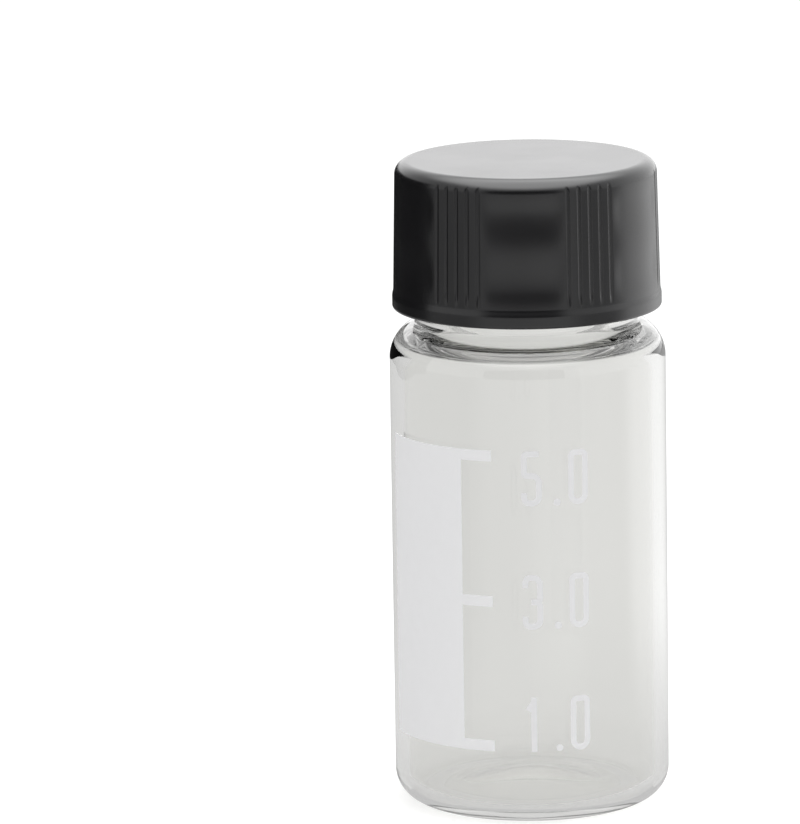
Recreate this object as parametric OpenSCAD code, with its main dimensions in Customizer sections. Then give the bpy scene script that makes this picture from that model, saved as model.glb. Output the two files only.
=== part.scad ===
// Glass sample vial: clear glass body with a printed scale, and a grooved screw cap with its liner.
// The vial stands on z = 0 with its axis on Z. The numbers of the scale face -Y.

/* [Glass body] */
// Outside diameter of the body
body_d = 18; // [17:0.5:24]
// Height of the glass, from the base to the rim
glass_h = 40; // [36:1:60]
// Thickness of the body's wall
wall_t = 0.9; // [0.7:0.1:1.2]
// Thickness of the base
base_t = 1; // [0.8:0.1:1.6]
// Outside radius of the heel, where the wall turns into the base
heel_r = 2; // [1.4:0.1:2.4]
// Outside radius of the shoulder
shoulder_r = 2.5; // [2.2:0.1:3]
// Thickness of the glass at the top of the shoulder
shoulder_t = 1.5; // [1.1:0.05:1.8]
// Inside radius of the shoulder
cavity_shoulder_r = 1.1; // [0.8:0.1:1.4]
// Diameter of the hollow under the base
punt_d = 11.6; // [8:0.2:12]
// Height of the hollow under the base
punt_h = 0.8; // [0.2:0.1:1.2]

/* [Neck] */
// Height of the neck, from the top of the shoulder's round to the rim
neck_h = 8.15; // [7.5:0.05:12]
// Radial step from the body's wall in to the crest of the thread
neck_inset = 1.7; // [1.6:0.1:2.4]
// Height of the thread's ridge above the neck
thread_depth = 0.7; // [0.5:0.1:0.9]
// Radial step from the crest of the thread in to the plain ring below it
ring_step = 0.15; // [0:0.05:0.4]
// Height of the plain ring above the shoulder
ring_h = 1.3; // [1.1:0.1:2]
// Thickness of the neck's wall
neck_wall_t = 1.3; // [1.1:0.1:1.8]
// Radius of the hollow corner between the shoulder and the ring
neck_fillet_r = 0.35; // [0.2:0.05:0.5]
// Radius of the inside bend from the cavity up into the neck's bore
bore_fillet_r = 1.7; // [1:0.1:2]
// Radius that rounds both edges of the rim
rim_r = 0.5; // [0.3:0.1:0.6]

/* [Screw cap] */
// Gap between the shoulder of the glass and the cap's bottom edge
skirt_gap = 0.85; // [0.5:0.05:1.2]
// Radial gap between the thread and the cap's bore
bore_clear = 0.2; // [0.1:0.05:0.4]
// Thickness of the cap's side wall at its top
cap_wall_t = 1; // [0.8:0.1:1.6]
// Thickness of the cap's top
cap_top_t = 1.3; // [1:0.1:2]
// Growth of the side wall's radius from the top edge down to the band
cap_draft = 0.17; // [0.05:0.01:0.3]
// Radius of the cap's top edge
cap_edge_r = 0.9; // [0.4:0.1:1]
// Height of the plain band at the cap's bottom
band_h = 1.25; // [0.8:0.05:2]
// How far the band stands out from the side wall
band_proud = 0.13; // [0.05:0.01:0.3]
// Radius that rounds the band's edges
band_edge_r = 0.35; // [0.1:0.05:0.4]

/* [Grip grooves] */
// Number of groups of grooves
groove_groups = 6; // [3:1:8]
// Number of grooves in a group
grooves_per_group = 5; // [2:1:6]
// Angle from one groove of a group to the next
groove_step = 5.2; // [4.6:0.1:6.5]
// Angle of the first group's middle to the right of the front
groove_start = 28.5; // [0:0.5:60]
// Radius of a groove's round floor
groove_r = 0.28; // [0.24:0.01:0.32]
// Depth of a groove
groove_depth = 0.18; // [0.08:0.01:0.22]

/* [Liner] */
// Thickness of the liner
liner_t = 1; // [0.5:0.1:1.6]
// Radial gap between the liner and the cap's bore
liner_clear = 0.15; // [0.05:0.05:0.4]

/* [Printed scale] */
// Width of the writing panel, measured round the glass
panel_w = 7; // [5:0.5:14]
// Angle of the panel's right edge to the left of the front
panel_edge = 29; // [0:1:60]
// Height of the lowest mark above the base
mark_low_z = 5.4; // [4:0.1:8]
// Height from one mark to the next
mark_step = 9.55; // [6:0.05:10]
// Number of marks
mark_count = 3; // [2:1:3]
// Length of a mark past the panel, measured round the glass
mark_l = 2.1; // [1:0.1:4]
// Thickness of a mark's line
mark_t = 0.7; // [0.3:0.05:1]
// Thickness of the enamel
ink_t = 0.04; // [0.02:0.01:0.06]

/* [Hidden] */
facets = 160;
groove_facets = 24;
cut_over = 1;
front_angle = -90;

body_r = body_d / 2;
cavity_r = body_r - wall_t;
shoulder_z = glass_h - neck_h;
cavity_top_z = shoulder_z - shoulder_t;
cavity_heel_r = heel_r - wall_t;
punt_arch_r = (pow(punt_d / 2, 2) + pow(punt_h, 2)) / (2 * punt_h);

thread_r = body_r - neck_inset;
ring_r = thread_r - ring_step;
neck_r = thread_r - thread_depth;
neck_bore_r = neck_r - neck_wall_t;
ring_edge_r = ring_r - neck_r;
shoulder_mid_r = body_r - shoulder_r;
shoulder_mid_z = shoulder_z - shoulder_r;
foot_z = shoulder_mid_z + sqrt(pow(shoulder_r, 2) - pow(ring_r + neck_fillet_r - shoulder_mid_r, 2));
bore_bend_r = min(bore_fillet_r, cavity_r - cavity_shoulder_r - neck_bore_r);

liner_z = glass_h;
liner_top_z = liner_z + liner_t;
cap_z = shoulder_z + skirt_gap;
cap_top_z = liner_top_z + cap_top_t;
cap_bore_r = thread_r + bore_clear;
cap_top_r = cap_bore_r + cap_wall_t;
cap_low_r = cap_top_r + cap_draft;
band_r = cap_low_r + band_proud;
band_top_z = cap_z + band_h;
cap_edge_z = cap_top_z - cap_edge_r;
draft_angle = atan(cap_draft / (cap_edge_z - band_top_z));
liner_r = cap_bore_r - liner_clear;

panel_angle = panel_w / body_r * 180 / PI;
mark_angle = mark_l / body_r * 180 / PI;
panel_right = front_angle - panel_edge;
panel_h = mark_step * (mark_count - 1) + mark_t;
panel_z = mark_low_z - mark_t / 2;

// Half section of a disc from z_low to z_high, with both outer corners rounded
module disc_section(r, z_low, z_high, low_r, high_r) {
    translate([0, z_low])
        square([r - low_r, z_high - z_low - high_r]);
    translate([0, z_low + low_r])
        square([r - high_r, z_high - z_low - low_r]);
    translate([0, z_low + low_r])
        square([r, z_high - z_low - low_r - high_r]);
    translate([r - low_r, z_low + low_r])
        circle(r = low_r, $fn = facets);
    translate([r - high_r, z_high - high_r])
        circle(r = high_r, $fn = facets);
}

// What is left of a square corner at the origin outside a round of radius r that touches both its sides
module corner_web(r) {
    difference() {
        square(r);
        translate([r, r])
            circle(r = r, $fn = facets);
    }
}

// Outside of the glass in half section: body, ring, neck and rim
module glass_outside() {
    disc_section(body_r, 0, shoulder_z, heel_r, shoulder_r);
    disc_section(ring_r, shoulder_mid_z, shoulder_z + ring_h, ring_edge_r, ring_edge_r);
    disc_section(neck_r, shoulder_mid_z, glass_h, rim_r, rim_r);
    translate([ring_r, foot_z])
        corner_web(neck_fillet_r);
}

// Inside of the glass in half section: cavity with its raised floor, and bore of the neck
module glass_inside() {
    difference() {
        disc_section(cavity_r, base_t, cavity_top_z, cavity_heel_r, cavity_shoulder_r);
        translate([0, punt_h - punt_arch_r])
            circle(r = punt_arch_r + base_t, $fn = facets);
    }
    translate([0, cavity_top_z - cavity_shoulder_r])
        square([neck_bore_r, glass_h - cavity_top_z + cavity_shoulder_r + cut_over]);
    translate([neck_bore_r, cavity_top_z])
        corner_web(bore_bend_r);
    translate([neck_bore_r, glass_h])
        mirror([0, 1])
            corner_web(rim_r);
}

// Clear glass body, one piece of drawn tube
module glass_vial() {
    color([0.84, 0.87, 0.85, 0.4])
        rotate_extrude($fn = facets)
            difference() {
                glass_outside();
                glass_inside();
                translate([0, punt_h - punt_arch_r])
                    circle(r = punt_arch_r, $fn = facets);
            }
}

// Curved patch round the axis, from one angle, radius and height to another
module curved_patch(angle_from, angle_to, r_low, r_high, z_low, z_high) {
    rotate([0, 0, angle_from])
        rotate_extrude(angle = angle_to - angle_from, $fn = facets)
            translate([r_low, z_low])
                square([r_high - r_low, z_high - z_low]);
}

// Writing panel fired onto the glass, with the marks left standing at its right edge
module printed_scale() {
    color([0.95, 0.95, 0.96])
        difference() {
            curved_patch(panel_right - panel_angle, panel_right + mark_angle,
                         body_r, body_r + ink_t, panel_z, panel_z + panel_h);
            for (i = [0 : mark_count - 2])
                curved_patch(panel_right, panel_right + 2 * mark_angle,
                             body_r - cut_over, body_r + cut_over,
                             panel_z + i * mark_step + mark_t, panel_z + (i + 1) * mark_step);
        }
}

// Soft sealing disc between the rim and the cap's top
module cap_liner() {
    color([0.93, 0.93, 0.9])
        translate([0, 0, liner_z])
            cylinder(r = liner_r, h = liner_t, $fn = facets);
}

// Outside of the cap in half section: band, drafted side wall and rounded top edge
module cap_outside() {
    disc_section(band_r, cap_z, band_top_z, band_edge_r, band_edge_r);
    polygon([
        [0, cap_z + band_edge_r],
        [cap_low_r, band_top_z - band_edge_r],
        [cap_low_r, band_top_z],
        [cap_top_r, cap_edge_z],
        [0, cap_edge_z]
    ]);
    translate([0, cap_edge_z - cap_edge_r])
        square([cap_top_r - cap_edge_r, 2 * cap_edge_r]);
    translate([cap_top_r - cap_edge_r, cap_edge_z])
        circle(r = cap_edge_r, $fn = facets);
}

// Inside of the cap in half section, with a rounded mouth
module cap_inside() {
    translate([0, cap_z - cut_over])
        square([cap_bore_r, liner_top_z - cap_z + cut_over]);
    translate([cap_bore_r, cap_z])
        corner_web(band_edge_r);
}

// One upright round groove in the drafted wall, running out into the top edge
module grip_groove() {
    translate([cap_low_r - groove_depth + groove_r, 0, band_top_z])
        rotate([0, -draft_angle, 0])
            cylinder(r = groove_r, h = cap_top_z - band_top_z + cut_over, $fn = groove_facets);
}

// Black moulded cap with its groups of grooves
module screw_cap() {
    color([0.07, 0.07, 0.08])
        difference() {
            rotate_extrude($fn = facets)
                difference() {
                    cap_outside();
                    cap_inside();
                }
            for (group = [0 : groove_groups - 1], i = [0 : grooves_per_group - 1])
                rotate([0, 0, front_angle + groove_start + group * 360 / groove_groups
                              + (i - (grooves_per_group - 1) / 2) * groove_step])
                    grip_groove();
        }
}

glass_vial();
printed_scale();
cap_liner();
screw_cap();
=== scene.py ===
"""Looks of the glass sample vial, in a pale studio.

Drawn glass body with its thread, fired scale and numbers, sealing liner and grooved screw cap.
"""

import math

import bmesh
import bpy
from mathutils import Matrix, Vector


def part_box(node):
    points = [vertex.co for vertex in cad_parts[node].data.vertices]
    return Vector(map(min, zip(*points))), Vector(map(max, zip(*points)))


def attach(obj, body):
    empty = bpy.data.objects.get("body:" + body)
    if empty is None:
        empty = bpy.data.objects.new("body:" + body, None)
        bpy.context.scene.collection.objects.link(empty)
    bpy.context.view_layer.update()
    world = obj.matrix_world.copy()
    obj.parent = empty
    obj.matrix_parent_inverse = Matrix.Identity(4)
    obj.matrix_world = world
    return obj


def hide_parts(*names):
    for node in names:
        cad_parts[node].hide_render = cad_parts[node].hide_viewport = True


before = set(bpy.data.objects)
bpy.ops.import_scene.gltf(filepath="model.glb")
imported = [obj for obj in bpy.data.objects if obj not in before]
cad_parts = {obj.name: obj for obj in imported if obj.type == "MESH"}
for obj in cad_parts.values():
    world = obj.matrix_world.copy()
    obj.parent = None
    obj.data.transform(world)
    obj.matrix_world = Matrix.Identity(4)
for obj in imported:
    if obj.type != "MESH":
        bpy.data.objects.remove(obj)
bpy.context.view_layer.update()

MM = 0.001
# Points closer than this count as one
SAME_PLACE = 1e-7

# Sizes taken from the frame
GLASS_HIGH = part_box("glass_vial")[1]
CAP_LOW, CAP_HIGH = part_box("screw_cap")
LINER_LOW, LINER_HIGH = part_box("cap_liner")
SCALE_LOW, SCALE_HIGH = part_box("printed_scale")

# Glass body and neck: the wall lies inside its solid by the enamel's thickness, and the last four values
# count the mesh's rows and sides
ENAMEL_T = 0.03 * MM
BODY_R = GLASS_HIGH.x - ENAMEL_T
RIM_Z = GLASS_HIGH.z
WALL_T = 0.9 * MM
BASE_T = 1 * MM
HEEL_R = 2 * MM
PUNT_R = 5.8 * MM
PUNT_H = 0.8 * MM
NECK_H = 8.15 * MM
SHOULDER_Z = RIM_Z - NECK_H
SHOULDER_R = 2.5 * MM
SHOULDER_T = 1.5 * MM
RING_R = 7.15 * MM
RING_H = 1.3 * MM
NECK_R = 6.6 * MM
NECK_WALL_T = 1.3 * MM
FOOT_FILLET_R = 0.35 * MM
BORE_FILLET_R = 1.7 * MM
CAVITY_SHOULDER_R = 0.5 * MM
RIM_R = 0.5 * MM
WALL_ROWS = 12
BORE_ROWS = 2
PUNT_ROWS = 32
GLASS_SIDES = 264

# Thread, the same helix on the neck and in the cap. Its ridge is at full height within a crest's width of
# its middle, and down on the wall a foot's width away. It rises and runs out over a part of a turn.
LEAD = 2.12 * MM
THREAD_Z = 34.35 * MM
THREAD_TURNS = 1.9
THREAD_H = 0.7 * MM
THREAD_CREST = 0.2 * MM
THREAD_FOOT = 0.62 * MM
THREAD_RUN_OUT = 0.12
THREAD_ROWS = 54
CAP_THREAD_TURNS = 2.4
CAP_THREAD_H = 0.62 * MM
CAP_THREAD_CREST = 0.12 * MM
CAP_THREAD_FOOT = 0.42 * MM
# Points this close to the radius of the thread's wall lie on it
ON_WALL = 0.01 * MM

# Cap: band, which keeps a little inside its solid, side wall, top and bore
CAP_Z = CAP_LOW.z
CAP_TOP_Z = CAP_HIGH.z
BAND_INSIDE = 0.05 * MM
BAND_R = CAP_HIGH.x - BAND_INSIDE
BAND_H = 1.25 * MM
BAND_PROUD = 0.08 * MM
BAND_EASE = 0.5 * MM
BAND_EASE_ROWS = 10
BAND_EDGE_R = 0.18 * MM
MOUTH_R = 0.35 * MM
CAP_LOW_R = BAND_R - BAND_PROUD
CAP_DRAFT = 0.17 * MM
CAP_TOP_R = CAP_LOW_R - CAP_DRAFT
CAP_EDGE_R = 0.9 * MM
CAP_WALL_T = 1 * MM
CAP_WALL_ROWS = 24
CAP_BORE_R = CAP_TOP_R - CAP_WALL_T

# Grip grooves, with angles in degrees: the first group's middle is to the right of the front
GROOVE_GROUPS = 6
GROOVES_PER_GROUP = 5
GROOVE_STEP = 5.2
GROOVE_START = 28.5
FIRST_GROUP = math.radians(GROOVE_START - 90)
GROOVE_W = 0.34 * MM
GROOVE_DEPTH = 0.07 * MM
GROOVE_FADE = 0.7 * MM
# Columns of the mesh across a groove, in half widths from its middle, and across a field between groups
GROOVE_COLUMNS = (-1.25, -1, -0.8, -0.55, -0.28, 0, 0.28, 0.55, 0.8, 1, 1.25)
FIELD_COLUMNS = 20

# Level waves of the smooth fields, which begin and are full so many degrees from the middle of a group
WAVE_DEPTH = 0.03 * MM
WAVE_L = 4.45 * MM
WAVE_Z = 38.95 * MM
WAVE_ENDS = 1 * MM
WAVE_CLEAR = 11.5
WAVE_FULL = 17

# Liner
LINER_EDGE_R = 0.08 * MM
LINER_SIDES = 160

# Fired print: angles in degrees to the right of the front
PANEL_RIGHT = -29.0
PANEL_W = 7 * MM
PANEL_COLUMNS = 96
MARK_COUNT = 3
MARK_L = 2.1 * MM
MARK_T = 0.7 * MM
MARK_COLUMNS = 10
DIGIT_H = 3.6 * MM
DIGIT_W = 1.33 * MM
DIGIT_STROKE = 0.38 * MM
DIGIT_T = 0.016 * MM
STROKE_LIFT = 0.002 * MM
STROKE_STEP = 0.2 * MM
BEND_STEPS = 8
POINT_R = 0.23 * MM
POINT_SIDES = 24
# Angles of a number's whole part, point and tenths
WHOLE_AT = 1.0
POINT_AT = 11.5
TENTHS_AT = 20.5

# Camera: where the middle of the vial lands in the 800 x 824 frame
FRAME_PX = (800, 824)
TARGET = Vector((0, 0, 21 * MM))
TARGET_PX = (529.04, 480.81)
CAMERA_DISTANCE = 470 * MM
CAMERA_ELEVATION = math.radians(12.125)
CAMERA_ROLL = math.radians(0.66)
FOCAL_PX = 7205
SENSOR_MM = 36
CLIP_NEAR = 10 * MM
CLIP_FAR = 10_000 * MM

# Studio
FLOOR_R = 600 * MM
FLOOR_SIDES = 96
LAMP_PLACE = (190 * MM, 40 * MM, 460 * MM)
LAMP_SIZE = 300 * MM
LAMP_POWER = 1.0
# Levels of the white room, where 1 is white: as a light, through the glass, and what is added in reflections
ROOM_LIGHT = 0.8
THROUGH = 0.74
THROUGH_OVERHEAD = 0.15
SOFTBOX = 4.6
BACK_WALL = 0.83
# Levels of the floor: its paper, and its glow in view
PAPER = 0.8
GLOW = 0.32
# Painted light on the floor, seen through the glass and in reflections: what it gains well apart from the
# vial, and there on the right
THROUGH_APART = -0.03
PAINTED_LIGHT_RIGHT = 0.09
# Painted light on the floor seen in reflections: what they gain ahead of the vial, beside it, well apart
# from it, and everywhere
PAINTED_REFLECTION_AHEAD = 0.7
PAINTED_REFLECTION_BESIDE = 1.4
APART = -0.12
EVERYWHERE = -0.12
# Painted shade round the vial, through the glass and in reflections: the part of its level that the floor
# keeps close round it
PAINTED_SHADE_KEPT = 0.88
# How much of the floor is a glow of painted light and shade by its place, through the glass and in
# reflections
PLACED_THROUGH = 0.8
PLACED_MIRRORED = 0.9
# Dark cards: their tone, and their corners in millimetres
CARD_TONE = 0.02
SIDE_CARD = ((-66, -3, 19), (-66, 157, 0.5), (-66, 397, 0.5), (-66, 397, 60), (-66, -3, 60))
FRONT_CARD = ((-180, -247, 10), (143, -247, 10), (143, -247, 130), (-180, -247, 130))
LOW_CARD = ((-130, 150, 0.5), (-8, 150, 0.5), (-8, 270, 0.5), (-130, 270, 0.5))


class Value:
    """A socket of a node tree that adds a Math node when it is worked with."""

    def __init__(self, nodes, socket):
        self.nodes = nodes
        self.socket = socket

    def math(self, operation, *others, first=None):
        terms = [self, *others] if first is None else [first, self, *others]
        return self.nodes.add("ShaderNodeMath", {"operation": operation}, dict(enumerate(terms)))

    def __add__(self, other):
        return self.math("ADD", other)

    def __sub__(self, other):
        return self.math("SUBTRACT", other)

    def __mul__(self, other):
        return self.math("MULTIPLY", other)

    def __truediv__(self, other):
        return self.math("DIVIDE", other)

    def __rsub__(self, other):
        return self.math("SUBTRACT", first=other)

    def __rtruediv__(self, other):
        return self.math("DIVIDE", first=other)

    __radd__ = __add__
    __rmul__ = __mul__

    def out(self, name):
        """The output of that name on the same node."""
        return Value(self.nodes, self.socket.node.outputs[name])

    def smooth(self, low, high):
        """0 below low, 1 above high, and an eased step between them."""
        return self.nodes.add(
            "ShaderNodeMapRange",
            {"interpolation_type": "SMOOTHSTEP"},
            {"Value": self, "From Min": low, "From Max": high},
        )


class Nodes:
    """A node tree, with the one way in which nodes are added to it."""

    def __init__(self, tree):
        self.tree = tree

    def add(self, kind, settings=None, values=None, out=0):
        """A new node of a kind, with its settings, then the values or links of its sockets."""
        node = self.tree.nodes.new(kind)
        for name, value in (settings or {}).items():
            setattr(node, name, value)
        for name, value in (values or {}).items():
            if isinstance(value, Value):
                self.tree.links.new(value.socket, node.inputs[name])
            else:
                node.inputs[name].default_value = value
        return Value(self, node.outputs[out]) if node.outputs else None


# ---------------------------------------------------------------- turned shapes


def arc(centre_r, centre_z, radius, start, end, step=6):
    """Points of a round stretch of a section, from one angle to another in degrees."""
    count = max(2, math.ceil(abs(end - start) / step))
    angles = [math.radians(start + (end - start) * i / count) for i in range(count + 1)]
    return [(centre_r + radius * math.cos(a), centre_z + radius * math.sin(a)) for a in angles]


def straight(start, end, rows=1, guard=0.06 * MM):
    """Points inside a straight stretch: a guard at each end, which keeps the shading flat, and even rows."""
    length = math.dist(start, end)
    places = [guard / length] + [i / rows for i in range(1, rows)] + [1 - guard / length]
    return [(start[0] + (end[0] - start[0]) * p, start[1] + (end[1] - start[1]) * p) for p in places]


def joined(*stretches):
    """One section out of stretches, where None or a number of rows is a straight line between two."""
    points = []
    for i, stretch in enumerate(stretches):
        if stretch is None or isinstance(stretch, int):
            following = stretches[i + 1]
            points += straight(points[-1], following[0], stretch or 1)
        else:
            points += stretch
    return points


def even_angles(count):
    """So many angles, evenly round a circle."""
    return [2 * math.pi * i / count for i in range(count)]


def turned(name, section, angles):
    """A closed shell: the section, which starts and ends on the axis, turned to every angle."""
    build = bmesh.new()
    rings = []
    for radius, height in section:
        ring = [(radius * math.cos(a), radius * math.sin(a), height) for a in angles]
        rings.append([build.verts.new(place) for place in (ring if radius > SAME_PLACE else ring[:1])])
    count = len(angles)
    for ring, following in zip(rings, rings[1:]):
        for i in range(count):
            j = (i + 1) % count
            near = [ring[i % len(ring)], ring[j % len(ring)]]
            far = [following[j % len(following)], following[i % len(following)]]
            build.faces.new(list(dict.fromkeys(near + far)))
    bmesh.ops.recalc_face_normals(build, faces=build.faces)
    return as_piece(name, build)


def as_piece(name, build, smooth=True):
    """An object with what was built as its mesh."""
    mesh = bpy.data.meshes.new(name)
    build.to_mesh(mesh)
    build.free()
    if smooth:
        mesh.shade_smooth()
    piece = bpy.data.objects.new(name, mesh)
    bpy.context.scene.collection.objects.link(piece)
    return piece


# ---------------------------------------------------------------- geometry trees


def new_tree(name, inputs):
    """A Geometry Nodes tree with a geometry in and out and the named inputs: its nodes and its inputs."""
    tree = bpy.data.node_groups.new(name, "GeometryNodeTree")
    tree.interface.new_socket("Geometry", in_out="INPUT", socket_type="NodeSocketGeometry")
    for label in inputs:
        tree.interface.new_socket(label, in_out="INPUT", socket_type="NodeSocketFloat")
    tree.interface.new_socket("Finish", in_out="INPUT", socket_type="NodeSocketMaterial")
    tree.interface.new_socket("Geometry", in_out="OUTPUT", socket_type="NodeSocketGeometry")
    nodes = Nodes(tree)
    return nodes, nodes.add("NodeGroupInput")


def end_tree(nodes, given, geometry):
    """The tree, ended so that it gives plain geometry in the given finish."""
    whole = nodes.add("GeometryNodeRealizeInstances", None, {"Geometry": geometry})
    finished = nodes.add(
        "GeometryNodeSetMaterial", None, {"Geometry": whole, "Material": given.out("Finish")}
    )
    nodes.add("NodeGroupOutput", None, {"Geometry": finished})
    return nodes.tree


def shaped(piece, tree, finish, **sizes):
    """Runs a tree on a piece and keeps what it makes as the piece's plain mesh."""
    modifier = piece.modifiers.new(tree.name, "NODES")
    modifier.node_group = tree
    wanted = {label.replace("_", " ").capitalize(): size for label, size in sizes.items()}
    for item in tree.interface.items_tree:
        if item.in_out == "INPUT" and item.name in wanted:
            modifier[item.identifier] = wanted.pop(item.name)
        elif item.name == "Finish":
            modifier[item.identifier] = finish
    assert not wanted, f"{tree.name} has no input {sorted(wanted)}"
    bpy.context.view_layer.update()
    evaluated = piece.evaluated_get(bpy.context.evaluated_depsgraph_get())
    result = bpy.data.meshes.new_from_object(evaluated)
    piece.modifiers.remove(modifier)
    piece.data = result
    return piece


def round_axis(nodes):
    """A point's radius from the vial's axis, its angle round it, its height, and its X and Y."""
    place = nodes.add("ShaderNodeSeparateXYZ", None, {"Vector": nodes.add("GeometryNodeInputPosition")})
    across, deep = place.out("X"), place.out("Y")
    radius = (across * across + deep * deep).math("SQRT")
    return radius, deep.math("ARCTAN2", across), place.out("Z"), across, deep


def pushed(nodes, geometry, radius, across, deep, step):
    """The geometry with each point moved by step away from the axis."""
    offset = nodes.add(
        "ShaderNodeCombineXYZ", None, {"X": across / radius * step, "Y": deep / radius * step}
    )
    return nodes.add("GeometryNodeSetPosition", None, {"Geometry": geometry, "Offset": offset})


def thread_tree():
    """Raises a helical ridge on a wall of the given radius. A negative height turns it inwards."""
    nodes, given = new_tree(
        "helical thread",
        ["Wall radius", "Height", "Lead", "Start", "Turns", "Crest", "Foot", "Run out"],
    )
    radius, angle, height, across, deep = round_axis(nodes)
    turn = angle / (2 * math.pi)
    turn = turn + turn.math("LESS_THAN", 0)
    along = (height - given.out("Start")) / given.out("Lead") - turn
    lap = (along + 0.5).math("FLOOR")
    away = (along - lap).math("ABSOLUTE") * given.out("Lead")
    flank = 1 - away.smooth(given.out("Crest"), given.out("Foot"))
    wound = lap + turn
    begins = wound.smooth(0, given.out("Run out"))
    ends = (given.out("Turns") - wound).smooth(0, given.out("Run out"))
    on_wall = (radius - given.out("Wall radius")).math("ABSOLUTE").math("LESS_THAN", ON_WALL)
    step = flank * begins * ends * on_wall * given.out("Height")
    return end_tree(nodes, given, pushed(nodes, given.out("Geometry"), radius, across, deep, step))


def from_group(given, angle):
    """The angle from the middle of the nearest group of grooves."""
    sector = 2 * math.pi / given.out("Groups")
    group = ((angle - given.out("First angle")) / sector + 0.5).math("FLOOR")
    return angle - given.out("First angle") - group * sector


def groove_tree():
    """Sinks groups of upright round grooves into the cap's side wall."""
    nodes, given = new_tree(
        "grip grooves",
        [
            "Groups", "Per group", "Step angle", "First angle", "Width", "Depth", "Fade",
            "Low", "Low radius", "Draft slope",
        ],
    )
    radius, angle, height, across, deep = round_axis(nodes)
    middle = (given.out("Per group") - 1) / 2
    place = from_group(given, angle) / given.out("Step angle") + middle
    nearest = (place + 0.5).math("FLOOR").math("MAXIMUM", 0).math("MINIMUM", given.out("Per group") - 1)
    away = (place - nearest) * given.out("Step angle") * radius / (given.out("Width") / 2)
    inside = (1 - away * away).math("MAXIMUM", 0)
    rises = height - given.out("Low")
    fade = rises.smooth(0, given.out("Fade"))
    hollow = inside * inside * fade * given.out("Depth")
    floor = given.out("Low radius") - rises * given.out("Draft slope") - hollow
    in_groove = hollow.math("GREATER_THAN", 0) * rises.math("GREATER_THAN", 0)
    cut = (radius - floor).math("MAXIMUM", 0) * in_groove
    return end_tree(nodes, given, pushed(nodes, given.out("Geometry"), radius, across, deep, cut * -1))


def wave_tree():
    """Sinks faint level waves, as moulding leaves them, into the smooth fields between groups of grooves."""
    nodes, given = new_tree(
        "moulded waves",
        [
            "Depth", "Length", "Start", "Low", "High", "Ends", "Inside",
            "Groups", "First angle", "Clear", "Full",
        ],
    )
    radius, angle, height, across, deep = round_axis(nodes)
    wave = ((height - given.out("Start")) / given.out("Length") * (2 * math.pi)).math("SINE") + 1
    low_end = (height - given.out("Low")) / given.out("Ends")
    high_end = (given.out("High") - height) / given.out("Ends")
    ends = low_end.math("MINIMUM", high_end).math("MAXIMUM", 0).math("MINIMUM", 1)
    outside = radius.math("GREATER_THAN", given.out("Inside"))
    field = from_group(given, angle).math("ABSOLUTE").smooth(given.out("Clear"), given.out("Full"))
    step = wave * ends * outside * field * given.out("Depth") * -1
    return end_tree(nodes, given, pushed(nodes, given.out("Geometry"), radius, across, deep, step))


def stroke_tree():
    """Turns flat centre lines into strokes of enamel on the glass: X runs round it, and Y up."""
    nodes, given = new_tree("enamel strokes", ["Stroke", "Thickness", "Glass radius"])
    line = nodes.add("GeometryNodeMeshToCurve", None, {"Mesh": given.out("Geometry")})
    line = nodes.add("GeometryNodeSetCurveNormal", {"mode": "Z_UP"}, {"Curve": line})
    section = nodes.add(
        "GeometryNodeCurvePrimitiveQuadrilateral",
        None,
        {"Width": given.out("Stroke"), "Height": given.out("Thickness")},
    )
    ribbon = nodes.add(
        "GeometryNodeCurveToMesh", None, {"Curve": line, "Profile Curve": section, "Fill Caps": True}
    )
    place = nodes.add("ShaderNodeSeparateXYZ", None, {"Vector": nodes.add("GeometryNodeInputPosition")})
    turn = place.out("X") / given.out("Glass radius")
    reach = given.out("Glass radius") + place.out("Z")
    wrapped = nodes.add(
        "ShaderNodeCombineXYZ",
        None,
        {"X": turn.math("SINE") * reach, "Y": turn.math("COSINE") * reach * -1, "Z": place.out("Y")},
    )
    bent = nodes.add("GeometryNodeSetPosition", None, {"Geometry": ribbon, "Position": wrapped})
    return end_tree(nodes, given, bent)


# ---------------------------------------------------------------- materials


def finish(name, build):
    """A material whose surface is what build adds to its nodes."""
    material = bpy.data.materials.new(name)
    material.use_nodes = True
    material.node_tree.nodes.clear()
    nodes = Nodes(material.node_tree)
    nodes.add("ShaderNodeOutputMaterial", None, {"Surface": build(nodes)})
    return material


def place_on(nodes, scale=(1, 1, 1)):
    """Object coordinates, stretched."""
    return nodes.add(
        "ShaderNodeMapping",
        None,
        {"Vector": nodes.add("ShaderNodeTexCoord").out("Object"), "Scale": scale},
    )


def noise(nodes, scale, stretch=(1, 1, 1), detail=2.0):
    """Soft noise on Object coordinates, so many cells to the metre."""
    return nodes.add(
        "ShaderNodeTexNoise", None, {"Vector": place_on(nodes, stretch), "Scale": scale, "Detail": detail}
    )


def bump(nodes, height, strength, distance):
    """A Normal that follows a height."""
    return nodes.add(
        "ShaderNodeBump", None, {"Height": height, "Strength": strength, "Distance": distance}
    )


def tone(nodes, amount, dark, light):
    """A colour between dark and light by an amount from 0 to 1."""
    return nodes.add(
        "ShaderNodeMix",
        {"data_type": "RGBA"},
        {0: amount, 6: (*dark, 1), 7: (*light, 1)},
        out=2,
    )


def clear_glass(nodes):
    """Drawn tube glass: clear, with faint draw lines along it, and open to the lamps."""
    draw_lines = noise(nodes, scale=260, stretch=(1, 1, 0.03))
    glass = nodes.add(
        "ShaderNodeBsdfPrincipled",
        None,
        {
            "Base Color": (0.94, 0.94, 0.925, 1),
            "Roughness": 0.0,
            "IOR": 1.49,
            "Transmission Weight": 1.0,
            "Normal": bump(nodes, draw_lines, strength=0.06, distance=0.02 * MM),
        },
    )
    lamp_way = nodes.add("ShaderNodeBsdfTransparent", None, {"Color": (0.91, 0.91, 0.9, 1)})
    shadow = nodes.add("ShaderNodeLightPath").out("Is Shadow Ray")
    return nodes.add("ShaderNodeMixShader", None, {0: shadow, 1: glass, 2: lamp_way})


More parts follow.
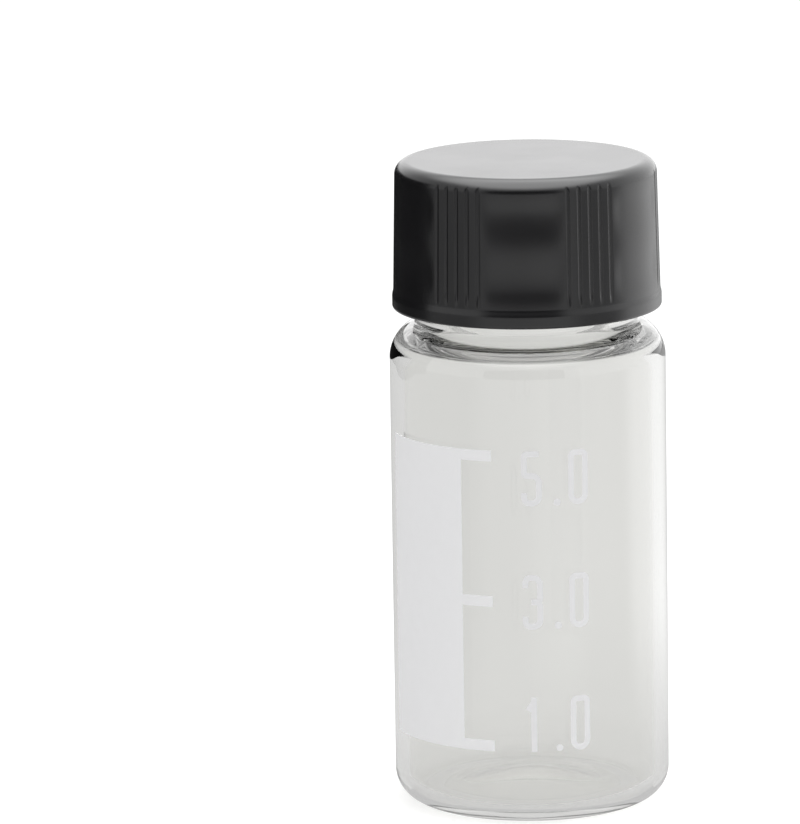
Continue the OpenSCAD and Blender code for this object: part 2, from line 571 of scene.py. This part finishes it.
def fired_enamel(nodes, white=0.93):
    """White ceramic ink fired onto glass: matt, faintly mottled, and thin enough to let light through."""
    mottle = noise(nodes, scale=1400, detail=4)
    bright = white + 0.04
    colour = tone(nodes, mottle, (white, white, white + 0.01), (bright, bright, bright + 0.01))
    skin = nodes.add(
        "ShaderNodeBsdfPrincipled",
        None,
        {
            "Base Color": colour,
            "Roughness": 0.55,
            "Normal": bump(nodes, mottle, strength=0.1, distance=0.01 * MM),
        },
    )
    behind = nodes.add("ShaderNodeBsdfTranslucent", None, {"Color": (white, white, white, 1)})
    let_through = 0.1
    return nodes.add("ShaderNodeMixShader", None, {0: let_through, 1: skin, 2: behind})


def thin_enamel(nodes):
    """The same ink in the thin strokes of the numbers, which are less white."""
    return fired_enamel(nodes, white=0.88)


def moulded_black(nodes):
    """Black moulded plastic: satin, with a soft orange peel and a little uneven gloss."""
    peel = noise(nodes, scale=700)
    patches = noise(nodes, scale=160, detail=3)
    return nodes.add(
        "ShaderNodeBsdfPrincipled",
        None,
        {
            "Base Color": tone(nodes, patches, (0.004, 0.004, 0.0045), (0.007, 0.007, 0.008)),
            "Roughness": patches * 0.08 + 0.2,
            "Normal": bump(nodes, peel, strength=0.15, distance=0.01 * MM),
        },
    )


def liner_foam(nodes):
    """Off-white sealing foam with fine cells."""
    cells = noise(nodes, scale=4000)
    return nodes.add(
        "ShaderNodeBsdfPrincipled",
        None,
        {
            "Base Color": tone(nodes, cells, (0.78, 0.78, 0.74), (0.86, 0.86, 0.82)),
            "Roughness": 0.7,
            "Normal": bump(nodes, cells, strength=0.3, distance=0.02 * MM),
        },
    )


GLASS = finish("clear drawn glass", clear_glass)
ENAMEL = finish("fired white enamel", fired_enamel)
THIN_ENAMEL = finish("thin white enamel", thin_enamel)
BLACK = finish("black moulded plastic", moulded_black)
FOAM = finish("liner foam", liner_foam)


# ---------------------------------------------------------------- glass body


def push_up(low):
    """A face of the base, raised in the middle and level at its edge."""
    parts = [i / PUNT_ROWS for i in range(PUNT_ROWS + 1)]
    return [(PUNT_R * part, low + PUNT_H * (1 + math.cos(math.pi * part)) / 2) for part in parts]


def glass_section():
    """Half section of the glass: out under the base, up the outside, over the rim and down the inside."""
    cavity_r = BODY_R - WALL_T
    cavity_heel_r = HEEL_R - WALL_T
    cavity_top = SHOULDER_Z - SHOULDER_T
    corner_r = CAVITY_SHOULDER_R
    bore_r = NECK_R - NECK_WALL_T
    ring_edge = RING_R - NECK_R
    shoulder_mid = Vector((BODY_R - SHOULDER_R, SHOULDER_Z - SHOULDER_R))
    foot_r = RING_R + FOOT_FILLET_R
    foot_across = foot_r - shoulder_mid.x
    foot_up = math.sqrt((SHOULDER_R + FOOT_FILLET_R) ** 2 - foot_across**2)
    foot_angle = math.degrees(math.atan2(foot_up, foot_across))
    return joined(
        push_up(0),
        None,
        arc(BODY_R - HEEL_R, HEEL_R, HEEL_R, -90, 0),
        WALL_ROWS,
        arc(*shoulder_mid, SHOULDER_R, 0, foot_angle, step=1.5),
        arc(foot_r, shoulder_mid.y + foot_up, FOOT_FILLET_R, foot_angle + 180, 180, step=4),
        None,
        arc(RING_R - ring_edge, SHOULDER_Z + RING_H - ring_edge, ring_edge, 0, 90, step=4),
        THREAD_ROWS,
        arc(NECK_R - RIM_R, RIM_Z - RIM_R, RIM_R, 0, 90, step=9),
        None,
        arc(bore_r + RIM_R, RIM_Z - RIM_R, RIM_R, 90, 180, step=9),
        BORE_ROWS,
        arc(bore_r + BORE_FILLET_R, cavity_top + BORE_FILLET_R, BORE_FILLET_R, -180, -90, step=2),
        arc(cavity_r - corner_r, cavity_top - corner_r, corner_r, 90, 0, step=4),
        WALL_ROWS,
        arc(cavity_r - cavity_heel_r, BASE_T + cavity_heel_r, cavity_heel_r, 0, -90),
        None,
        push_up(BASE_T)[::-1],
    )


def make_glass():
    """The clear body, with its thread."""
    body = turned("glass_body", glass_section(), even_angles(GLASS_SIDES))
    shaped(
        body,
        thread_tree(),
        GLASS,
        wall_radius=NECK_R,
        height=THREAD_H,
        lead=LEAD,
        start=THREAD_Z,
        turns=THREAD_TURNS,
        crest=THREAD_CREST,
        foot=THREAD_FOOT,
        run_out=THREAD_RUN_OUT,
    )
    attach(body, "vial")
    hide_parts("glass_vial")


# ---------------------------------------------------------------- fired scale


def on_glass(along, height, lift):
    """A point of the print: along runs round the glass to the right of the front."""
    turn = along / BODY_R
    reach = BODY_R + lift
    return (reach * math.sin(turn), -reach * math.cos(turn), height)


def make_scale():
    """Writing panel with its three marks, one sheet of enamel cut like a comb."""
    right = math.radians(PANEL_RIGHT) * BODY_R
    left = right - PANEL_W
    columns = [left + PANEL_W * i / PANEL_COLUMNS for i in range(PANEL_COLUMNS + 1)]
    columns += [right + MARK_L * i / MARK_COLUMNS for i in range(1, MARK_COLUMNS + 1)]
    low, high = SCALE_LOW.z, SCALE_HIGH.z
    step = (high - low - MARK_T) / (MARK_COUNT - 1)
    rows = sorted(z for i in range(MARK_COUNT) for z in (low + i * step, low + i * step + MARK_T))
    build = bmesh.new()
    corners = [
        [[build.verts.new(on_glass(x, z, lift)) for lift in (-ENAMEL_T / 2, ENAMEL_T)] for z in rows]
        for x in columns
    ]
    filled = {
        (i, j)
        for i in range(len(columns) - 1)
        for j in range(len(rows) - 1)
        if i < PANEL_COLUMNS or j % 2 == 0
    }
    for i, j in filled:
        quad = [corners[i][j], corners[i + 1][j], corners[i + 1][j + 1], corners[i][j + 1]]
        build.faces.new([c[1] for c in quad])
        build.faces.new([c[0] for c in reversed(quad)])
        neighbours = ((i, j - 1), (i + 1, j), (i, j + 1), (i - 1, j))
        for a, b, neighbour in zip(quad, quad[1:] + quad[:1], neighbours):
            if neighbour not in filled:
                build.faces.new([a[0], b[0], b[1], a[1]])
    unused = [v for v in build.verts if not v.link_faces]
    bmesh.ops.delete(build, geom=unused, context="VERTS")
    bmesh.ops.recalc_face_normals(build, faces=build.faces)
    panel = as_piece("scale_panel", build, smooth=False)
    panel.data.materials.append(ENAMEL)
    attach(panel, "vial")
    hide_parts("printed_scale")


def rounded(points, radii):
    """A centre line through corner points, each inner one rounded by its radius."""
    line = [Vector(points[0])]
    for before, corner, after, radius in zip(points, points[1:], points[2:], radii):
        corner = Vector(corner)
        back, on = (Vector(before) - corner), (Vector(after) - corner)
        opening = back.angle(on)
        reach = min(radius / math.tan(opening / 2), back.length * 0.5, on.length * 0.5)
        bend = reach * math.tan(opening / 2)
        centre = corner + (back.normalized() + on.normalized()).normalized() * (bend / math.sin(opening / 2))
        start = corner + back.normalized() * reach - centre
        sweep = start.angle_signed(corner + on.normalized() * reach - centre)
        for i in range(BEND_STEPS + 1):
            line.append(centre + Matrix.Rotation(-sweep * i / BEND_STEPS, 2) @ start)
    line.append(Vector(points[-1]))
    return line


def filled_in(line):
    """The line without doubled points, and with points put in on long runs, so that it follows the glass."""
    points = [line[0]]
    for end in line[1:]:
        start = points[-1]
        if (end - start).length > SAME_PLACE:
            count = math.ceil((end - start).length / STROKE_STEP)
            points += [start.lerp(end, i / count) for i in range(1, count + 1)]
    return points


def glyph(character):
    """Centre lines of one character of the scale, round its own middle."""
    a = (DIGIT_W - DIGIT_STROKE) / 2
    b = (DIGIT_H - DIGIT_STROKE) / 2
    hook = b - 0.42 * b
    flag = 0.8 * a
    flag_end = b - 0.3 * DIGIT_STROKE
    bar = -0.2 * a
    belly = 0.12 * b
    tight = 0.55 * DIGIT_STROKE
    return {
        "0": [rounded([(0, b), (a, b), (a, -b), (-a, -b), (-a, b), (0, b)], [a] * 4)],
        "1": [
            [Vector((0, DIGIT_H / 2)), Vector((0, -DIGIT_H / 2))],
            [Vector((-flag, hook)), Vector((0, flag_end))],
        ],
        "3": [
            rounded([(-a, hook), (-a, b), (a, b), (a, 0), (bar, 0)], [a, a, a]),
            rounded([(bar, 0), (a, 0), (a, -b), (-a, -b), (-a, -hook)], [a, a, a]),
        ],
        "5": [
            rounded(
                [(a, b), (-a, b), (-a, belly), (a, belly), (a, -b), (-a, -b), (-a, -hook)],
                [tight, tight, a, a, a],
            )
        ],
    }[character]


def add_point(mesh, along, height):
    """Adds the decimal point to a number, a round dot of enamel."""
    build = bmesh.new()
    build.from_mesh(mesh)
    rings = [
        [
            build.verts.new(on_glass(along + POINT_R * math.cos(a), height + POINT_R * math.sin(a), lift))
            for a in even_angles(POINT_SIDES)
        ]
        for lift in (-DIGIT_T / 2, DIGIT_T / 2)
    ]
    build.faces.new(rings[1])
    build.faces.new(reversed(rings[0]))
    for i in range(POINT_SIDES):
        build.faces.new([rings[0][i - 1], rings[0][i], rings[1][i], rings[1][i - 1]])
    build.to_mesh(mesh)
    build.free()


def make_number(name, strokes, whole, tenths, middle):
    """One number of the scale as strokes of enamel on the glass."""
    build = bmesh.new()
    for character, angle in ((whole, WHOLE_AT), (tenths, TENTHS_AT)):
        shift = Vector((math.radians(angle) * BODY_R, middle))
        for i, line in enumerate(glyph(character)):
            points = [build.verts.new((*(p + shift), i * STROKE_LIFT)) for p in filled_in(line)]
            for a, b in zip(points, points[1:]):
                build.edges.new((a, b))
    number = as_piece(name, build, smooth=False)
    shaped(
        number, strokes, THIN_ENAMEL, stroke=DIGIT_STROKE, thickness=DIGIT_T, glass_radius=BODY_R
    )
    add_point(number.data, math.radians(POINT_AT) * BODY_R, middle - DIGIT_H / 2 + POINT_R)
    number.data.shade_flat()
    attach(number, "vial")


def make_numbers():
    """The numbers beside the three marks."""
    strokes = stroke_tree()
    low, high = SCALE_LOW.z, SCALE_HIGH.z
    make_number("number_top", strokes, "5", "0", high - DIGIT_H / 2)
    make_number("number_middle", strokes, "3", "0", (low + high) / 2)
    make_number("number_low", strokes, "1", "0", low + DIGIT_H / 2)


# ---------------------------------------------------------------- cap and liner


def eased(part):
    """A part from 0 to 1, eased at both ends."""
    return part * part * (3 - 2 * part)


def band_ledge(band_top):
    """The eased step from the side wall out to the band."""
    parts = [i / BAND_EASE_ROWS for i in range(BAND_EASE_ROWS + 1)]
    return [(CAP_LOW_R + BAND_PROUD * eased(part), band_top - BAND_EASE * part) for part in parts]


def cap_section():
    """Half section of the cap: out over the top, down the outside, round the mouth and up the bore."""
    band_top = CAP_Z + BAND_H
    edge_z = CAP_TOP_Z - CAP_EDGE_R
    inner_top = LINER_HIGH.z
    return joined(
        [(0, CAP_TOP_Z)],
        None,
        arc(CAP_TOP_R - CAP_EDGE_R, edge_z, CAP_EDGE_R, 90, 0, step=5),
        CAP_WALL_ROWS,
        band_ledge(band_top),
        None,
        arc(BAND_R - BAND_EDGE_R, CAP_Z + BAND_EDGE_R, BAND_EDGE_R, 0, -90, step=10),
        None,
        arc(CAP_BORE_R + MOUTH_R, CAP_Z + MOUTH_R, MOUTH_R, -90, -180, step=10),
        THREAD_ROWS,
        [(CAP_BORE_R, inner_top)],
        None,
        [(0, inner_top)],
    )


def cap_angles():
    """Angles of the cap's rows: close together in the grooves, wide between the groups."""
    step = math.radians(GROOVE_STEP)
    sector = 2 * math.pi / GROOVE_GROUPS
    half = GROOVE_W / 2 / CAP_LOW_R
    last = (GROOVES_PER_GROUP - 1) / 2
    reach = last * step + GROOVE_COLUMNS[-1] * half
    field = sector - 2 * reach
    angles = []
    for group in range(GROOVE_GROUPS):
        middle = FIRST_GROUP + group * sector
        for i in range(GROOVES_PER_GROUP):
            angles += [middle + (i - last) * step + half * column for column in GROOVE_COLUMNS]
        angles += [middle + reach + field * i / FIELD_COLUMNS for i in range(1, FIELD_COLUMNS)]
    return sorted(a % (2 * math.pi) for a in angles)


def make_cap():
    """The black cap, with its grooves, waves and inside thread."""
    wall_low = CAP_Z + BAND_H
    wall_high = CAP_TOP_Z - CAP_EDGE_R
    cap = turned("threaded_cap", cap_section(), cap_angles())
    shaped(
        cap,
        groove_tree(),
        BLACK,
        groups=GROOVE_GROUPS,
        per_group=GROOVES_PER_GROUP,
        step_angle=math.radians(GROOVE_STEP),
        first_angle=FIRST_GROUP,
        width=GROOVE_W,
        depth=GROOVE_DEPTH,
        fade=GROOVE_FADE,
        low=wall_low,
        low_radius=CAP_LOW_R,
        draft_slope=CAP_DRAFT / (wall_high - wall_low),
    )
    shaped(
        cap,
        wave_tree(),
        BLACK,
        depth=WAVE_DEPTH,
        length=WAVE_L,
        start=WAVE_Z,
        low=wall_low,
        high=wall_high,
        ends=WAVE_ENDS,
        inside=CAP_TOP_R - CAP_WALL_T / 2,
        groups=GROOVE_GROUPS,
        first_angle=FIRST_GROUP,
        clear=math.radians(WAVE_CLEAR),
        full=math.radians(WAVE_FULL),
    )
    shaped(
        cap,
        thread_tree(),
        BLACK,
        wall_radius=CAP_BORE_R,
        height=-CAP_THREAD_H,
        lead=LEAD,
        start=THREAD_Z - LEAD / 2,
        turns=CAP_THREAD_TURNS,
        crest=CAP_THREAD_CREST,
        foot=CAP_THREAD_FOOT,
        run_out=THREAD_RUN_OUT,
    )
    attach(cap, "cap")
    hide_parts("screw_cap")


def make_liner():
    """The foam disc between the rim and the cap's top."""
    edge = LINER_EDGE_R
    radius, low, high = LINER_HIGH.x, LINER_LOW.z, LINER_HIGH.z
    liner = turned(
        "sealing_liner",
        joined(
            [(0, high)],
            None,
            arc(radius - edge, high - edge, edge, 90, 0, step=30),
            None,
            arc(radius - edge, low + edge, edge, 0, -90, step=30),
            None,
            [(0, low)],
        ),
        even_angles(LINER_SIDES),
    )
    liner.data.materials.append(FOAM)
    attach(liner, "liner")
    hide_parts("cap_liner")


# ---------------------------------------------------------------- studio


def make_camera():
    """A long lens that sees the vial to the right of the frame's middle."""
    lens = bpy.data.cameras.new("camera")
    lens.sensor_fit = "HORIZONTAL"
    lens.sensor_width = SENSOR_MM
    lens.lens = FOCAL_PX / FRAME_PX[0] * SENSOR_MM
    lens.clip_start = CLIP_NEAR
    lens.clip_end = CLIP_FAR
    camera = bpy.data.objects.new("camera", lens)
    bpy.context.scene.collection.objects.link(camera)
    back = Vector((0, -math.cos(CAMERA_ELEVATION), math.sin(CAMERA_ELEVATION)))
    facing = back.to_track_quat("Z", "Y")
    across = TARGET_PX[0] - FRAME_PX[0] / 2
    down = TARGET_PX[1] - FRAME_PX[1] / 2
    seen = Vector((across, -down, -FOCAL_PX))
    aim = seen.rotation_difference(Vector((0, 0, -1)))
    turn = facing.to_matrix() @ Matrix.Rotation(-CAMERA_ROLL, 3, "Z") @ aim.to_matrix()
    camera.matrix_world = Matrix.Translation(TARGET + back * CAMERA_DISTANCE) @ turn.to_4x4()
    bpy.context.scene.camera = camera


def mirror_rays(path):
    """1 for reflected views, which a ray through the glass is not."""
    return path.out("Is Glossy Ray") * path.out("Is Reflection Ray")


def pale_floor(nodes):
    """Pale paper, which glows a little in view, so that it reads as white there and keeps its shadow.

    Through the glass and in reflections it is a glow with painted light and shade by its place: painted
    shade close round the vial, and painted light on its right and, in reflections, ahead of and beside it.
    Ahead, beside and right say which way it lies from the vial, and clear and apart say how far away it is.
    """
    path = nodes.add("ShaderNodeLightPath")
    place = nodes.add("ShaderNodeTexCoord").out("Object")
    way = nodes.add("ShaderNodeVectorMath", {"operation": "NORMALIZE"}, {0: place})
    way = nodes.add("ShaderNodeSeparateXYZ", None, {"Vector": way})
    right, back = way.out("X"), way.out("Y")
    distance = nodes.add("ShaderNodeVectorMath", {"operation": "LENGTH"}, {0: place}, out="Value")
    clear = distance.smooth(6 * MM, 26 * MM)
    ahead = (0 - back).smooth(0.6, 0.9)
    beside = back.smooth(-0.2, 0.15) * right.smooth(0.2, 0.9)
    apart = distance.smooth(15 * MM, 70 * MM)
    mirrored = mirror_rays(path)
    paper = nodes.add("ShaderNodeBsdfDiffuse", None, {"Color": (PAPER, PAPER, PAPER, 1)})
    glow = path.out("Is Camera Ray") * GLOW
    lift = nodes.add("ShaderNodeEmission", None, {"Color": glow, "Strength": 1.0})
    seen = nodes.add("ShaderNodeAddShader", None, {0: paper, 1: lift})
    # Painted light: the floor, seen through the glass and in reflections, is brighter on the vial's right
    painted_through_light = (right.smooth(-0.05, 0.11) * PAINTED_LIGHT_RIGHT + THROUGH_APART) * apart + THROUGH
    # Painted light on the floor seen in reflections, brighter ahead of and beside the vial
    painted_mirror_light = apart * (ahead * PAINTED_REFLECTION_AHEAD + beside * PAINTED_REFLECTION_BESIDE + APART) + EVERYWHERE
    # Painted shade: the floor's painted level drops close round the vial, where clear goes to 0
    level = (clear * (1 - PAINTED_SHADE_KEPT) + PAINTED_SHADE_KEPT) * (mirrored * painted_mirror_light + painted_through_light)
    # A glow of painted light and shade, which takes the place of the lit paper through the glass and in
    # reflections
    painted_light_and_shade = nodes.add("ShaderNodeEmission", None, {"Color": level, "Strength": 1.0})
    placed = path.out("Is Transmission Ray") * PLACED_THROUGH + mirrored * PLACED_MIRRORED
    return nodes.add("ShaderNodeMixShader", None, {0: placed, 1: seen, 2: painted_light_and_shade})


def make_floor():
    """A round sheet of the pale paper under the vial."""
    build = bmesh.new()
    bmesh.ops.create_circle(build, cap_ends=True, segments=FLOOR_SIDES, radius=FLOOR_R)
    floor = as_piece("floor", build, smooth=False)
    floor.data.materials.append(finish("pale floor", pale_floor))


def make_room():
    """White room: a softbox overhead and a bright wall behind in reflections, and plain white in view.

    Right, back and up say which way a ray leaves, from -1 to 1.
    """
    world = bpy.data.worlds.new("room")
    world.use_nodes = True
    world.cycles.sampling_method = "NONE"
    world.node_tree.nodes.clear()
    nodes = Nodes(world.node_tree)
    leaving = nodes.add("ShaderNodeTexCoord").out("Generated")
    way = nodes.add("ShaderNodeSeparateXYZ", None, {"Vector": leaving})
    path = nodes.add("ShaderNodeLightPath")
    right, back, up = way.out("X"), way.out("Y"), way.out("Z")
    overhead = 1 - right.math("ABSOLUTE").smooth(0.55, 0.85)
    back_wall = (back + right * 0.6).smooth(0.1, 0.9)
    softbox = (up - back * 0.15).smooth(0.5, 0.9) * overhead
    mirrored = 1 + back_wall * BACK_WALL + softbox * SOFTBOX
    through = THROUGH + (up + back * 0.12).smooth(0.38, 0.72) * overhead * THROUGH_OVERHEAD
    strength = (
        ROOM_LIGHT
        + path.out("Is Camera Ray") * (1 - ROOM_LIGHT)
        + mirror_rays(path) * (mirrored - ROOM_LIGHT)
        + path.out("Is Transmission Ray") * (through - ROOM_LIGHT)
    )
    light = nodes.add("ShaderNodeBackground", None, {"Color": (1, 1, 1, 1), "Strength": strength})
    nodes.add("ShaderNodeOutputWorld", None, {"Surface": light})
    bpy.context.scene.world = world


def dark_card(nodes):
    """Nearly black, at one level whatever lights it."""
    black = (CARD_TONE, CARD_TONE, CARD_TONE, 1)
    return nodes.add("ShaderNodeEmission", None, {"Color": black, "Strength": 1.0})


def make_card(name, corners):
    """A dark card that only reflections see."""
    build = bmesh.new()
    build.faces.new([build.verts.new(Vector(corner) * MM) for corner in corners])
    card = as_piece(name, build, smooth=False)
    card.data.materials.append(finish(name, dark_card))
    card.visible_camera = False
    card.visible_diffuse = False
    card.visible_transmission = False
    card.visible_shadow = False


def make_lamp():
    """A soft round lamp that lights the floor and the print. Neither the camera nor the glass sees it."""
    lamp = bpy.data.lights.new("key softbox", "AREA")
    lamp.shape = "DISK"
    lamp.size = LAMP_SIZE
    lamp.energy = LAMP_POWER
    holder = bpy.data.objects.new("key softbox", lamp)
    bpy.context.scene.collection.objects.link(holder)
    aim = (Vector(LAMP_PLACE) - TARGET).to_track_quat("Z", "Y").to_matrix().to_4x4()
    holder.matrix_world = Matrix.Translation(LAMP_PLACE) @ aim
    holder.visible_camera = False
    holder.visible_glossy = False
    holder.visible_transmission = False


make_glass()
make_scale()
make_numbers()
make_cap()
make_liner()
make_camera()
make_floor()
make_room()
make_card("side card", SIDE_CARD)
make_card("front card", FRONT_CARD)
make_card("low card", LOW_CARD)
make_lamp()

# Long paths for the light that runs round inside the glass
paths = bpy.context.scene.cycles
paths.max_bounces = 64
paths.diffuse_bounces = 12
paths.glossy_bounces = 32
paths.transmission_bounces = 48
paths.blur_glossy = 0

bpy.context.scene.view_settings.view_transform = "Standard"
